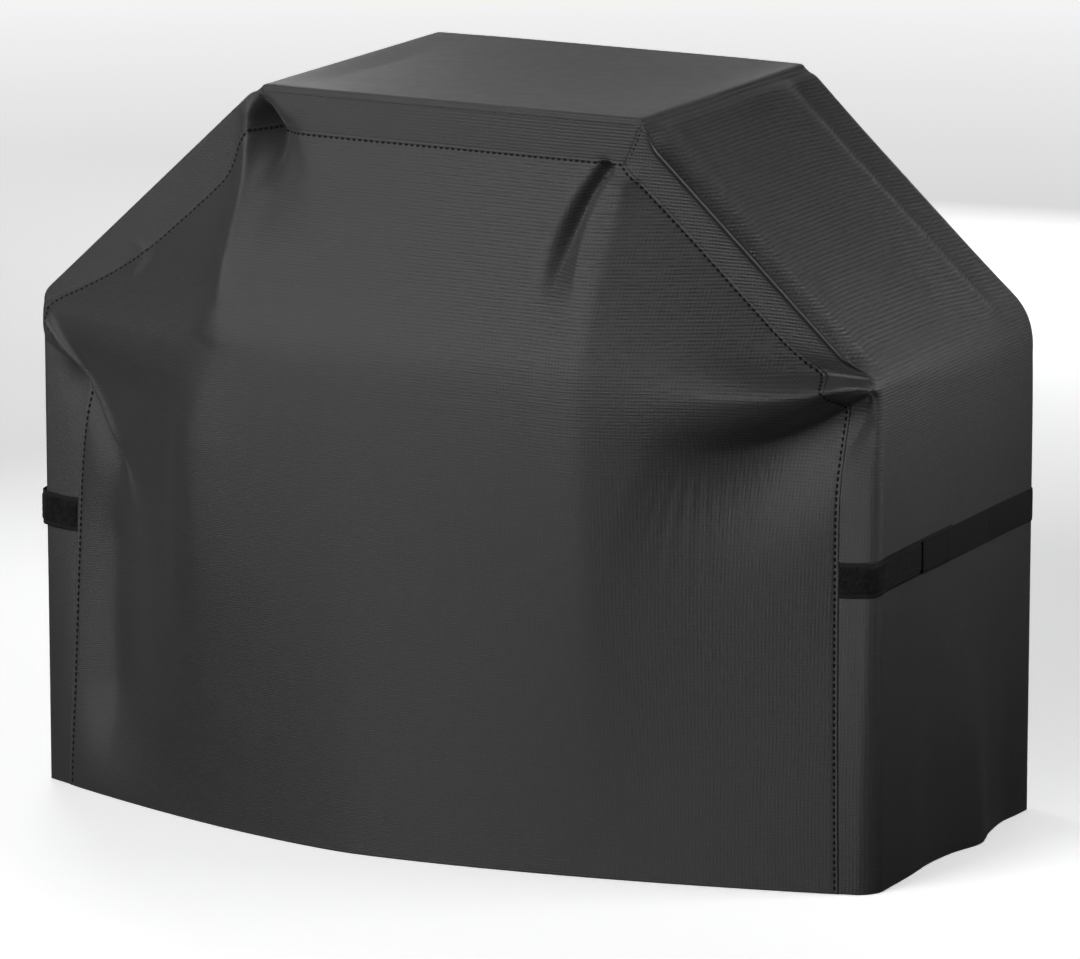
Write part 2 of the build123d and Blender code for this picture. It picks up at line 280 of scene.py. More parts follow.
FLARED = dict(spread=(0.6, 1.8))
TO_HEM = dict(fade=(0.5, 0.0))
BACK_FOLDS = [
    dict(path=[(0.70, 0.77), (0.58, 0.70), (0.45, 0.60)], height=0.008, left=0.02, right=0.03, **FLARED),
    dict(path=[(-0.70, 0.77), (-0.60, 0.68), (-0.50, 0.55)], height=0.008, left=0.03, right=0.02, **FLARED),
    dict(path=[(0.32, 1.10), (0.28, 0.98), (0.26, 0.80)], height=0.007, left=0.02, right=0.03, **FLARED),
    dict(path=[(-0.32, 1.10), (-0.29, 0.96), (-0.27, 0.78)], height=0.007, left=0.03, right=0.02, **FLARED),
    dict(path=[(0.25, 0.45), (0.27, 0.2), (0.28, -0.05)], height=0.010, left=0.06, right=0.07, **TO_HEM),
    dict(path=[(-0.33, 0.5), (-0.30, 0.2), (-0.31, -0.05)], height=0.011, left=0.07, right=0.06, **TO_HEM),
    dict(path=[(0.0, 0.4), (0.01, 0.2), (0.0, -0.05)], height=-0.008, left=0.09, right=0.09, **TO_HEM),
]
BACK_FULLNESS = 0.006  # the back stands out by this much in its middle


def back_relief(x, z):
    """How far the back's cloth stands behind the wraps' plane."""
    from_edge = smooth((outline_half(z) - np.abs(x)) / 0.25)
    out = BACK_FULLNESS * from_edge * smooth((TOP - z) / 0.2)
    for f in BACK_FOLDS:
        out = out + fold(x, z, **f)
    return out


# ------------------------------ the saddle: sides, slopes and top
SHOULDER_ROUND = (0.014, 0.050)  # reach of the round at the shoulder, at the front and at the rear
TOP_ROUND = 0.014
LEFT_EDGE_ROUND = 0.007
SEAM_T = SIDE_RUN + SLOPE_RUN  # where the slope is sewn to the top
SEAM_DIP = 0.0014  # depth of the groove along that seam
SLOPE_SAG = 0.010
EDGE_FALL = 0.024  # the right slope rounds down towards its front edge
EDGE_CREST = 0.020  # that edge stands this far out over the wrap
REAR_HOLLOW = 0.012  # depth of the hollow along the right slope's rear edge
REAR_SWELL = 0.016  # height of the swell just ahead of it
SEAM_PULL = 0.005  # the cloth is drawn in beside the top's seam
TOP_SAG = 0.006
SIDE_SAG = 0.004
FLARE_TOP = 0.42  # the hem's waves die away at this height
RIGHT_WAVES = [(0.019, 0.055, 0.052), (-0.004, -0.09, 0.05), (-0.005, 0.19, 0.04)]  # height, place, width
LEFT_WAVES = [(0.013, -0.03, 0.07), (-0.004, 0.14, 0.05)]
WRAP_DROP = 0.003  # the wraps lie this much lower under the lapped panels


def corner_point(inset, which):
    """The outline's shoulder or top corner, drawn in by inset."""
    run, rise = HALF - TOP_HALF, TOP - SHOULDER
    slant = math.hypot(run, rise)
    if which == "shoulder":
        return HALF - inset, SHOULDER - inset * (slant - run) / rise
    return TOP_HALF - inset * (slant - rise) / run, TOP - inset


def sharp_profile(t, inset):
    """Right half of the outline by distance t from the hem, with sharp corners."""
    sx, sz = corner_point(inset, "shoulder")
    tx, tz = corner_point(inset, "top")
    f1 = np.clip(t / SIDE_RUN, 0, 1)
    f2 = np.clip((t - SIDE_RUN) / SLOPE_RUN, 0, 1)
    f3 = np.clip((t - SIDE_RUN - SLOPE_RUN) / TOP_HALF, 0, 1)
    x = sx + (tx - sx) * f2 + (0 - tx) * f3
    z = sz * f1 + (tz - sz) * f2
    return x, z


def profile(t, v, inset):
    """The same with rounded corners."""
    x, z = sharp_profile(t, inset)
    to_rear = smooth(v / (0.6 * DEPTH))
    shoulder = SHOULDER_ROUND[0] + (SHOULDER_ROUND[1] - SHOULDER_ROUND[0]) * to_rear
    for corner, reach in ((SIDE_RUN, shoulder), (SIDE_RUN + SLOPE_RUN, TOP_ROUND)):
        a = sharp_profile(corner - reach + 0 * t, inset)
        c = sharp_profile(corner + 0 * t, inset)
        b = sharp_profile(corner + reach + 0 * t, inset)
        w = np.clip((t - corner + reach) / (2 * reach), 0, 1)
        inside = np.abs(t - corner) < reach
        px = a[0] * (1 - w) ** 2 + 2 * c[0] * w * (1 - w) + b[0] * w * w
        pz = a[1] * (1 - w) ** 2 + 2 * c[1] * w * (1 - w) + b[1] * w * w
        x, z = np.where(inside, px, x), np.where(inside, pz, z)
    return x, z


def profile_normal(t, v, inset):
    """Outward direction of the outline in the XZ plane."""
    step = 0.0015
    x0, z0 = profile(t - step, v, inset)
    x1, z1 = profile(t + step, v, inset)
    tx, tz = x1 - x0, z1 - z0
    size = np.maximum(np.hypot(tx, tz), 1e-9)
    return tz / size, -tx / size


def front_round(t, hand):
    """Radius of the front edge: crisp along the top and the slopes, and soft down the right side."""
    if hand < 0:
        return LEFT_EDGE_ROUND + 0 * t
    side = smooth((SIDE_RUN - t + 0.03) / 0.10)
    low = smooth((0.5 - t) / 0.5)
    return 0.008 + 0.012 * side + 0.008 * low * side


def back_round(t):
    """Radius of the rear edge: softest on the slopes."""
    slope = bump(t - SIDE_RUN - SLOPE_RUN / 2, SLOPE_RUN * 0.55, 4)
    side = smooth((SIDE_RUN - t + 0.03) / 0.10)
    return 0.012 + 0.020 * slope + 0.012 * side


def slope_part(t):
    """1 along a slope, 0 at its ends and beyond."""
    slope = (t - SIDE_RUN) / SLOPE_RUN
    return smooth(slope / 0.12) * smooth((1 - slope) / 0.10)


def side_relief(t, y, hand):
    """How far the sides, slopes and top stand out of their flat planes; hand is 1 right, -1 left."""
    across = (y - FRONT) / DEPTH
    arch = np.sin(np.pi * np.clip(across, 0, 1))
    on_slope = slope_part(t)
    out = -SLOPE_SAG * on_slope * smooth(across / 0.16) * smooth((1 - across) / 0.2)
    if hand > 0:
        out = out - EDGE_FALL * on_slope * (1 - smooth((y - FRONT) / 0.045))
        out = out - REAR_HOLLOW * on_slope * bump(y - BACK + 0.085, 0.035)
        out = out + REAR_SWELL * on_slope * bump(across - 0.80, 0.11)
    out = out - SEAM_PULL * bump(t - SEAM_T + 0.009, 0.010)
    out = out - TOP_SAG * smooth((t - SEAM_T) / 0.08) * arch
    waves = RIGHT_WAVES if hand > 0 else LEFT_WAVES
    wave = sum(height * bump(y - MIDDLE - place, width) for height, place, width in waves)
    out = out + wave * smooth((FLARE_TOP - t) / FLARE_TOP)
    return out - SIDE_SAG * smooth(t / 0.1) * smooth((SIDE_RUN - t) / 0.15) * arch


def saddle_point(t, v, hand, lift=0.0):
    """A point of the saddle: t up the profile from the hem, v from the front wrap, over, to the rear wrap.

    v below 0 lies on the front wrap, v above DEPTH on the rear wrap. lift is out of the cloth.
    """
    t, v = np.broadcast_arrays(np.asarray(t, float), np.asarray(v, float))
    r_front, r_back = front_round(t, hand), back_round(t)
    turn_front = np.clip((v + r_front) / (2 * r_front), 0, 1) * math.pi / 2
    turn_back = np.clip((v - DEPTH + r_back) / (2 * r_back), 0, 1) * math.pi / 2
    inset = np.where(v < -r_front, -v, r_front * (1 - np.sin(turn_front)))
    inset = np.where(v > DEPTH - r_back, r_back * (1 - np.cos(turn_back)), inset)
    inset = np.where(v > DEPTH + r_back, v - DEPTH, inset)
    y = np.where(v > r_front, FRONT + v, FRONT + r_front * (1 - np.cos(turn_front)))
    y = np.where(v > DEPTH - r_back, BACK - r_back * (1 - np.sin(turn_back)), y)
    x, z = profile(t, v, inset)
    nx, nz = profile_normal(t, v, inset)
    facing_front = np.cos(turn_front)
    facing_back = np.sin(turn_back)
    facing_side = np.sin(turn_front) * np.cos(turn_back)
    seam_dip = SEAM_DIP * bump(t - SEAM_T, 0.0035)
    out = (side_relief(t, y, hand) + lift - seam_dip) * facing_side
    x, z = x + nx * out, z + nz * out
    x = x * hand
    crest = EDGE_CREST * slope_part(t) * bump(v, 0.018) if hand > 0 else 0
    ahead = front_relief(x, z) + lift - seam_dip + crest - WRAP_DROP * covered(x, z, FRONT_EDGES)
    behind = back_relief(x, z) + lift - seam_dip - WRAP_DROP * covered(x, z, BACK_EDGES)
    y = y - ahead * facing_front + behind * facing_back
    return np.stack([x, y, z], -1)


# ------------------------------ rows along the seams
def seam_row(edges, inset, start=0.004):
    """Places (x, z) along a lapped panel's edge, from the left hem over the top to the right hem."""
    z = np.linspace(start, SEAM_TOP - inset, 320)
    lean = [np.hypot(1, np.gradient(edge(z), z)) * inset for edge in edges]
    left, right = edges[0](z) + lean[0], edges[1](z) - lean[1]
    over = np.linspace(left[-1], right[-1], 160)[1:-1]
    x = np.concatenate([left, over, right[::-1]])
    return np.stack([x, np.concatenate([z, np.full(over.shape, z[-1]), z[::-1]])], -1)


# ------------------------------ meshes
def faced_object(name, points, faces, cloth_xy, materials):
    """A smooth mesh with the cloth's own coordinates, in metres, as its UVs."""
    mesh = bpy.data.meshes.new(name)
    mesh.from_pydata(points.reshape(-1, 3).tolist(), [], faces)
    corners = np.empty(len(mesh.loops), np.int32)
    mesh.loops.foreach_get("vertex_index", corners)
    layer = mesh.uv_layers.new(name="cloth")
    layer.data.foreach_set("uv", cloth_xy.reshape(-1, 2)[corners].reshape(-1).astype(np.float32))
    mesh.shade_smooth()
    for material in materials:
        mesh.materials.append(material)
    return placed(name, mesh)


def placed(name, data):
    """A new object in the scene."""
    obj = bpy.data.objects.new(name, data)
    bpy.context.scene.collection.objects.link(obj)
    return obj


def grid_object(name, points, cloth_xy, materials):
    """A mesh of quads through a grid of points."""
    rows, columns = points.shape[:2]
    index = np.arange(rows * columns).reshape(rows, columns)
    quads = np.stack([index[:-1, :-1], index[:-1, 1:], index[1:, 1:], index[1:, :-1]], -1)
    return faced_object(name, points, quads.reshape(-1, 4).tolist(), cloth_xy, materials)


def distances(points):
    """How far along a row of points each one lies."""
    return np.concatenate([[0], np.cumsum(np.linalg.norm(np.diff(points, axis=0), axis=1))])


def ribbon(name, points, material, thickness, outward):
    """A narrow strip: a grid whose rows run along it, with its cloth coordinates measured on it."""
    along = distances(points[:, points.shape[1] // 2])
    across = distances(points[points.shape[0] // 2])
    cloth = np.stack(np.meshgrid(across, along), -1)
    return thicken(grid_object(name, points, cloth, [material]), thickness, outward)


def thicken(obj, thickness, outward, inner_slot=0, rim_slot=0):
    """Gives a sheet its thickness, inwards from its outer face; outward is whether its faces look out."""
    if not outward:
        obj.data.flip_normals()
    modifier = obj.modifiers.new("thickness", "SOLIDIFY")
    modifier.thickness = thickness
    modifier.offset = -1
    modifier.material_offset = inner_slot
    modifier.material_offset_rim = rim_slot
    modifier.use_even_offset = False
    return obj


def fit(piece, body, slot, *nodes):
    """Hangs a piece on the body that it rides on and hides the CAD nodes that it stands for; slot, its
    finish, is not used.
    """
    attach(piece, body)
    if nodes:
        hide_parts(*nodes)


def spaced(start, end, cell):
    """Even stations from start to end, about a cell apart."""
    return np.linspace(start, end, max(2, int(round(abs(end - start) / cell)) + 1))


def grid(along, across):
    """Every pair of the two rows of stations, with along as the grid's rows."""
    return np.meshgrid(along, across, indexing="ij")


# ------------------------------ materials
class Nodes:
    """Short names for building one node material."""

    def __init__(self, name):
        self.material = bpy.data.materials.new(name)
        self.material.use_nodes = True
        self.tree = self.material.node_tree
        self.surface = self.tree.nodes["Principled BSDF"]

    def add(self, kind, inputs=None, **settings):
        node = self.tree.nodes.new(kind)
        for key, value in settings.items():
            setattr(node, key, value)
        for key, value in (inputs or {}).items():
            self.feed(node.inputs[key], value)
        return node

    def feed(self, socket, value):
        if isinstance(value, bpy.types.NodeSocket):
            self.tree.links.new(value, socket)
        else:
            socket.default_value = value

    def math(self, operation, a, b=0.0):
        node = self.add("ShaderNodeMath", {0: a, 1: b}, operation=operation)
        return node.outputs[0]

    def times(self, a, b):
        return self.math("MULTIPLY", a, b)

    def plus(self, a, b):
        return self.math("ADD", a, b)

    def wave(self, value, pitch, shift=None):
        """A sine along a length, one crest per pitch."""
        turn = self.times(value, 2 * math.pi / pitch)
        return self.math("SINE", turn if shift is None else self.plus(turn, shift))

    def parts(self, vector):
        return self.add("ShaderNodeSeparateXYZ", {0: vector}).outputs

    def cloth_xy(self, scale_x, scale_y):
        """The cloth's own coordinates, in metres, scaled."""
        uv = self.add("ShaderNodeUVMap", uv_map="cloth").outputs[0]
        mapping = self.add("ShaderNodeMapping", {"Vector": uv, "Scale": (scale_x, scale_y, 1)})
        return mapping.outputs[0]

    def noise(self, vector, scale, detail=3.0, roughness=0.5):
        inputs = {"Vector": vector, "Scale": scale, "Detail": detail, "Roughness": roughness}
        return self.add("ShaderNodeTexNoise", inputs).outputs["Fac"]

    def place(self):
        return self.add("ShaderNodeTexCoord").outputs["Object"]

    def reach(self):
        """Distance from the middle of the floor."""
        place = self.parts(self.place())
        flat = self.add("ShaderNodeCombineXYZ", {0: place[0], 1: place[1]})
        return self.add("ShaderNodeVectorMath", {0: flat.outputs[0]}, operation="LENGTH").outputs["Value"]

    def span(self, value, low, high, to_low, to_high):
        inputs = {"Value": value, "From Min": low, "From Max": high, "To Min": to_low, "To Max": to_high}
        return self.add("ShaderNodeMapRange", inputs).outputs[0]

    def mix(self, share, a, b):
        node = self.add("ShaderNodeMix", data_type="RGBA")
        self.feed(node.inputs[0], share)
        self.feed(node.inputs[6], a)
        self.feed(node.inputs[7], b)
        return node.outputs[2]

    def bumps(self, heights):
        """A chain of bump nodes for (height, depth in metres) pairs."""
        normal = None
        for height, depth in heights:
            node = self.add("ShaderNodeBump", {"Height": height, "Strength": 1.0, "Distance": depth})
            if normal is not None:
                self.feed(node.inputs["Normal"], normal)
            normal = node.outputs[0]
        self.feed(self.surface.inputs["Normal"], normal)

    def set(self, **values):
        for key, value in values.items():
            self.feed(self.surface.inputs[key.replace("_", " ")], value)


def grey(value):
    """A grey with a trace of blue."""
    return (value, value, value * 1.015, 1)


def weave(nodes, pitch_x, pitch_y):
    """Height of a plain weave: threads that pass over and under each other."""
    place = nodes.parts(nodes.cloth_xy(math.pi / pitch_x, math.pi / pitch_y))
    across = nodes.math("SINE", place[0])
    up = nodes.math("SINE", place[1])
    return nodes.times(across, up)


CLOTH_TONE = 0.034
THREAD_ROWS = 0.0052  # pitch of the rows of thicker threads that show on the right of the cover
THREAD_COLUMNS = 0.0054
STRIPED_FROM, STRIPED_TO = 0.62, 0.86  # heights between which the rows take over from the columns


def thick_threads(n):
    """Broken rows and columns of thicker threads, strongest high on the right."""
    place = n.parts(n.place())
    to_right = n.span(place[0], -0.1, 0.5, 0.12, 1.0)
    wander = n.times(n.noise(n.place(), 5.0, 1.0), 9.0)
    rows = n.wave(place[2], THREAD_ROWS, wander)
    columns = n.wave(place[0], THREAD_COLUMNS, wander)
    dashes = n.noise(n.cloth_xy(60, 190), 1.0, 1.0)
    strokes = n.noise(n.cloth_xy(190, 40), 1.0, 1.0)
    rows = n.times(rows, n.span(dashes, 0.35, 0.65, 0.1, 1.0))
    columns = n.times(columns, n.span(strokes, 0.35, 0.65, 0.1, 1.0))
    facing = n.parts(n.add("ShaderNodeNewGeometry").outputs["Normal"])
    rows = n.times(rows, n.span(n.math("ABSOLUTE", facing[2]), 0.80, 0.95, 1.0, 0.0))
    columns = n.times(columns, n.span(n.math("ABSOLUTE", facing[0]), 0.60, 0.90, 1.0, 0.0))
    rows = n.times(rows, n.span(place[2], STRIPED_FROM, STRIPED_TO, 0.4, 2.8))
    columns = n.times(columns, n.span(place[2], STRIPED_FROM, STRIPED_TO, 0.7, 0.8))
    return n.times(n.plus(rows, columns), to_right)


def cloth_material():
    """Coated polyester: a plain weave with uneven threads both ways, a soft sheen, and lighter colour on
    ridges that is partly scuffing and partly painted highlight.
    """
    n = Nodes("cover_cloth")
    fine = weave(n, 0.0012, 0.0011)
    weft = n.noise(n.cloth_xy(60, 560), 1.0, 2.0, 0.6)
    warp = n.noise(n.cloth_xy(520, 48), 1.0, 2.0, 0.6)
    drift = n.times(n.noise(n.place(), 9.0, 2.0), 5.0)
    ribs = n.wave(n.parts(n.cloth_xy(1, 1))[1], 0.0036, drift)
    broad = n.noise(n.place(), 3.2, 4.0, 0.55)
    mottled = n.noise(n.place(), 38.0, 3.0, 0.6)
    thick = thick_threads(n)
    threads = n.plus(n.span(weft, 0.3, 0.7, -0.5, 0.5), n.span(warp, 0.3, 0.7, -0.35, 0.35))
    threads = n.plus(n.plus(threads, n.times(ribs, 0.18)), thick)
    tint = n.plus(threads, n.span(broad, 0.3, 0.7, -0.35, 0.35))
    base = n.mix(n.span(tint, -3, 3, 0, 1), grey(CLOTH_TONE * 0.52), grey(CLOTH_TONE * 1.48))
    # Lighter colour on sharp ridges, from pointiness: partly scuffing on the edges, partly a painted
    # highlight.
    ridge_wear_and_highlight = n.span(n.add("ShaderNodeNewGeometry").outputs["Pointiness"], 0.505, 0.56, 0.0, 0.4)
    base = n.mix(n.times(ridge_wear_and_highlight, mottled), base, grey(CLOTH_TONE * 2.2))
    rough = n.plus(n.span(mottled, 0.3, 0.7, 0.47, 0.53), n.span(broad, 0.3, 0.7, -0.03, 0.03))
    n.bumps([(fine, 0.00018), (weft, 0.00028), (warp, 0.00024), (ribs, 0.00005), (thick, 0.00016)])
    n.set(Base_Color=base, Roughness=rough, Sheen_Weight=0.1, Sheen_Roughness=0.4)
    n.set(Specular_IOR_Level=n.span(thick, -3, 3, 0.2, 0.8))
    return n.material


def lining_and_rim_shade_material():
    """The coated inner face: smoother, darker, with a faint print of the weave. The lapped panels' rims take
    it too, as painted shade along their edges.
    """
    n = Nodes("inner_coating")
    fine = weave(n, 0.0013, 0.0011)
    cloudy = n.noise(n.place(), 14.0, 4.0, 0.6)
    n.bumps([(fine, 0.0001), (cloudy, 0.002)])
    n.set(Base_Color=n.mix(cloudy, grey(0.012), grey(0.02)), Roughness=n.span(cloudy, 0.3, 0.7, 0.32, 0.45))
    return n.material


def thread_material():
    """Twisted thread."""
    n = Nodes("sewing_thread")
    place = n.parts(n.cloth_xy(1, 1))
    twist = n.math("SINE", n.times(n.plus(place[0], place[1]), 5200.0))
    fuzz = n.noise(n.place(), 900.0, 2.0, 0.5)
    n.bumps([(twist, 0.0002), (fuzz, 0.0002)])
    n.set(Base_Color=n.mix(fuzz, grey(0.004), grey(0.009)), Roughness=0.75, Specular_IOR_Level=0.2)
    return n.material


def webbing_material(name="strap_webbing", tone=0.0055):
    """Woven strap: ribs across its width, each a row of small cords."""
    n = Nodes(name)
    place = n.parts(n.cloth_xy(1, 1))
    ribs = n.wave(place[1], 0.0030)
    offset = n.times(n.math("SIGN", ribs), math.pi / 2)
    cords = n.wave(place[0], 0.0024, offset)
    fuzz = n.noise(n.place(), 420.0, 3.0, 0.6)
    wear = n.noise(n.place(), 22.0, 3.0, 0.6)
    n.bumps([(ribs, 0.0005), (cords, 0.0003), (fuzz, 0.0004)])
    n.set(Base_Color=n.mix(wear, grey(tone * 0.7), grey(tone * 1.4)), Roughness=0.7)
    n.set(Sheen_Weight=0.03, Sheen_Roughness=0.5, Specular_IOR_Level=0.2)
    return n.material


def pile_material():
    """Loop side of a hook-and-loop strip: a matted nap."""
    n = Nodes("loop_pile")
    nap = n.noise(n.place(), 520.0, 4.0, 0.7)
    clumps = n.noise(n.place(), 150.0, 3.0, 0.65)
    n.bumps([(clumps, 0.0012), (nap, 0.0012)])
    n.set(Base_Color=n.mix(n.span(clumps, 0.35, 0.65, 0, 1), grey(0.0030), grey(0.011)), Roughness=0.95)
    n.set(Sheen_Weight=0.04, Sheen_Roughness=0.6, Specular_IOR_Level=0.12)
    return n.material


def hook_material():
    """Hook side: moulded rows of tiny hooks."""
    n = Nodes("hook_tape")
    place = n.parts(n.cloth_xy(1, 1))
    rows = n.wave(place[0], 0.0016)
    teeth = n.wave(place[1], 0.0014)
    hooks = n.times(rows, teeth)
    grain = n.noise(n.place(), 300.0, 3.0, 0.5)
    n.bumps([(hooks, 0.0008), (grain, 0.0002)])
    n.set(Base_Color=n.mix(grain, grey(0.008), grey(0.016)), Roughness=0.5)
    return n.material


def tape_material():
    """Grosgrain tape that binds the seams and hems inside."""
    n = Nodes("binding_tape")
    ribs = n.wave(n.parts(n.cloth_xy(1, 1))[0], 0.0018)
    fuzz = n.noise(n.place(), 260.0, 3.0, 0.6)
    n.bumps([(ribs, 0.0004), (fuzz, 0.0003)])
    n.set(Base_Color=n.mix(fuzz, grey(0.010), grey(0.022)), Roughness=0.6, Sheen_Weight=0.1)
    return n.material


CLOTH_FACE = cloth_material()
TAPE_BORDER = webbing_material("loop_border", 0.012)
LINING_AND_RIM_SHADE = lining_and_rim_shade_material()
THREAD = thread_material()
WEBBING = webbing_material()
PILE = pile_material()
HOOKS = hook_material()
TAPE = tape_material()


# ------------------------------ the cloth panels
# Finer cells beside the seams and the hems
EDGE_STEPS = np.array([0.0, 0.0015, 0.003, 0.0045, 0.006, 0.0075, 0.0095, 0.012, 0.016])
EDGE_BAND = EDGE_STEPS[-1]
HEM_STEPS = [0.0, 0.002, 0.005]
HEM_BAND = 0.009
STITCH_INSET = 0.0058  # stitch row, in from a lapped panel's edge
STITCH_SINK = 0.0009  # the row draws the cloth in by this much


def lapped_edge(gap):
    """Height of a lapped panel over the wraps: rolled at its edge, and drawn in by the stitches."""
    rolled = 0.0005 * (1 - smooth(gap / 0.003))
    return LAP_LIFT - rolled - STITCH_SINK * bump(gap - STITCH_INSET, 0.0022)


def front_point(x, z, lift=0.0):
    """Point of the front's cloth, lifted out of it."""
    return np.stack([x, FRONT - front_relief(x, z) - lift, z], -1)


def back_point(x, z, lift=0.0):
    """Point of the back's cloth, lifted out of it."""
    return np.stack([x, BACK + back_relief(x, z) + lift, z], -1)


def lapped_panel(name, left, right, point, outward):
    """A panel between two seams and the top seam, from the hem up."""
    levels = spaced(HEM_BAND, SEAM_TOP - EDGE_BAND, CELL)
    levels = np.concatenate([HEM_STEPS, levels, SEAM_TOP - EDGE_STEPS[-2::-1]])
    widest = max(right(levels) - left(levels))
    middle = spaced(0, 1, CELL / widest)
    rows = []
    for z in levels:
        near, far = float(left(z)), float(right(z))
        inner = near + EDGE_BAND + (far - near - 2 * EDGE_BAND) * middle
        rows.append(np.concatenate([near + EDGE_STEPS[:-1], inner, far - EDGE_STEPS[-2::-1]]))
    x = np.array(rows)
    z = np.repeat(levels[:, None], x.shape[1], 1)
    gap = np.minimum(np.minimum(x - x[:, :1], x[:, -1:] - x), SEAM_TOP - z)
    points = point(x, z, lapped_edge(gap))
    obj = grid_object(name, points, np.stack([x, z], -1), [CLOTH_FACE, LINING_AND_RIM_SHADE])
    # Slot 1, the dark inner coating, goes on the rims as well: painted shade along the lapped edges.
    return thicken(obj, CLOTH, outward, 1, 1)


def saddle_grid(name, halves):
    """A panel of the saddle, from its stations up the profile on each hand in turn."""
    blocks, cloth = [], []
    for hand, stations in halves:
        t, v = grid(stations, wrap_stations())
        blocks.append(saddle_point(t, v, hand))
        cloth.append(np.stack([v, t if hand > 0 else 2 * PROFILE_RUN - t], -1))
    return grid_object(name, np.concatenate(blocks), np.concatenate(cloth), [CLOTH_FACE, LINING_AND_RIM_SHADE])


def wrap_stations():
    """Stations from the front wrap's inner edge, over, to the rear wrap's inner edge."""
    return np.concatenate([
        spaced(-WRAP, -0.030, CELL),
        spaced(-0.028, 0.030, 0.0028),
        spaced(0.034, DEPTH - 0.046, CELL),
        spaced(DEPTH - 0.042, DEPTH + 0.042, 0.004),
        spaced(DEPTH + 0.046, DEPTH + WRAP, CELL),
    ])


def side_panel(hand, name):
    """A straight side and its slope, with their wraps."""
    stations = spaced(HEM_BAND, SEAM_T - EDGE_BAND, CELL)
    stations = np.concatenate([HEM_STEPS, stations, SEAM_T - EDGE_STEPS[-2::-1]])
    return thicken(saddle_grid(name, [(hand, stations)]), CLOTH, hand > 0, 1)


def top_panel():
    """The flat top with its wraps, from the right seam to the left one."""
    right = np.concatenate([SEAM_T + EDGE_STEPS[:-1], spaced(SEAM_T + EDGE_BAND, PROFILE_RUN, CELL)])
    return thicken(saddle_grid("top_cloth", [(1, right), (-1, right[-2::-1])]), CLOTH, True, 1)


front = lapped_panel("front_cloth", *FRONT_EDGES, front_point, True)
back = lapped_panel("back_cloth", *BACK_EDGES, back_point, False)
right_side = side_panel(1, "right_side_cloth")
left_side = side_panel(-1, "left_side_cloth")
top = top_panel()

for piece, node in (
    (front, "front_panel"),
    (back, "back_panel"),
    (right_side, "right_side_panel"),
    (left_side, "left_side_panel"),
    (top, "top_panel"),
):
    fit(piece, "cover", "cover_fabric", node)


# ------------------------------ tapes inside
TAPE_THICK = 0.0006
BEHIND_WRAPS = -CLOTH - 0.0004  # tapes on the wraps' inner face
BEHIND_PANEL = LAP_LIFT - CLOTH - 0.0003  # tapes on a lapped panel's inner face
BINDING_HALF = 0.011
CORNER_GAP = 0.040  # tapes stop this far from the front and rear edges


HEM_TAPE = np.linspace(0.003, 0.028, 5)  # the hem tapes' rows, up from the hem
PANELS = (("front", FRONT_EDGES, front_point, True), ("back", BACK_EDGES, back_point, False))
HANDS = (("right", 1), ("left", -1))


def tape(name, points, outward, node):
    """One tape inside the cover."""
    fit(ribbon(name, points, TAPE, TAPE_THICK, outward), "cover", "binding_tape", node)


# Bindings that follow the lapped panels' edges, behind the wraps
for side, edges, point, outward in PANELS:
    insets = np.linspace(-BINDING_HALF, BINDING_HALF, 5) + 0.012
    places = np.stack([seam_row(edges, inset, 0.03) for inset in insets], 1)
    points = point(places[..., 0], places[..., 1], BEHIND_WRAPS)
    tape(f"{side}_seam_tape", points, outward, f"{side}_seam_binding")

# Bindings under the seams between the top and the slopes
for side, hand in HANDS:
    v, t = grid(spaced(CORNER_GAP, DEPTH - CORNER_GAP, 0.01), np.linspace(SEAM_T - 0.014, SEAM_T + 0.014, 9))
    tape(f"{side}_top_tape", saddle_point(t, v, hand, BEHIND_WRAPS), hand < 0, f"{side}_top_binding")

# Tapes inside the hems
for side, _, point, outward in PANELS:
    half = HALF - WRAP - 0.004
    x, z = grid(spaced(-half, half, 0.01), HEM_TAPE)
    tape(f"{side}_hem_band", point(x, z, BEHIND_PANEL), not outward, f"{side}_hem_tape")
for side, hand in HANDS:
    v, t = grid(spaced(CORNER_GAP, DEPTH - CORNER_GAP, 0.008), HEM_TAPE)
    tape(f"{side}_hem_band", saddle_point(t, v, hand, BEHIND_WRAPS), hand < 0, f"{side}_hem_tape")


# ------------------------------ rows of stitches
STITCH_RINGS = [(-0.5, 0.30, -0.30), (-0.40, 0.80, 0.10), (-0.15, 1.0, 0.35)]  # place along, girth, lift
STITCH_RINGS += [(-place, girth, lift) for place, girth, lift in reversed(STITCH_RINGS)]
STITCH_SIDES = 6


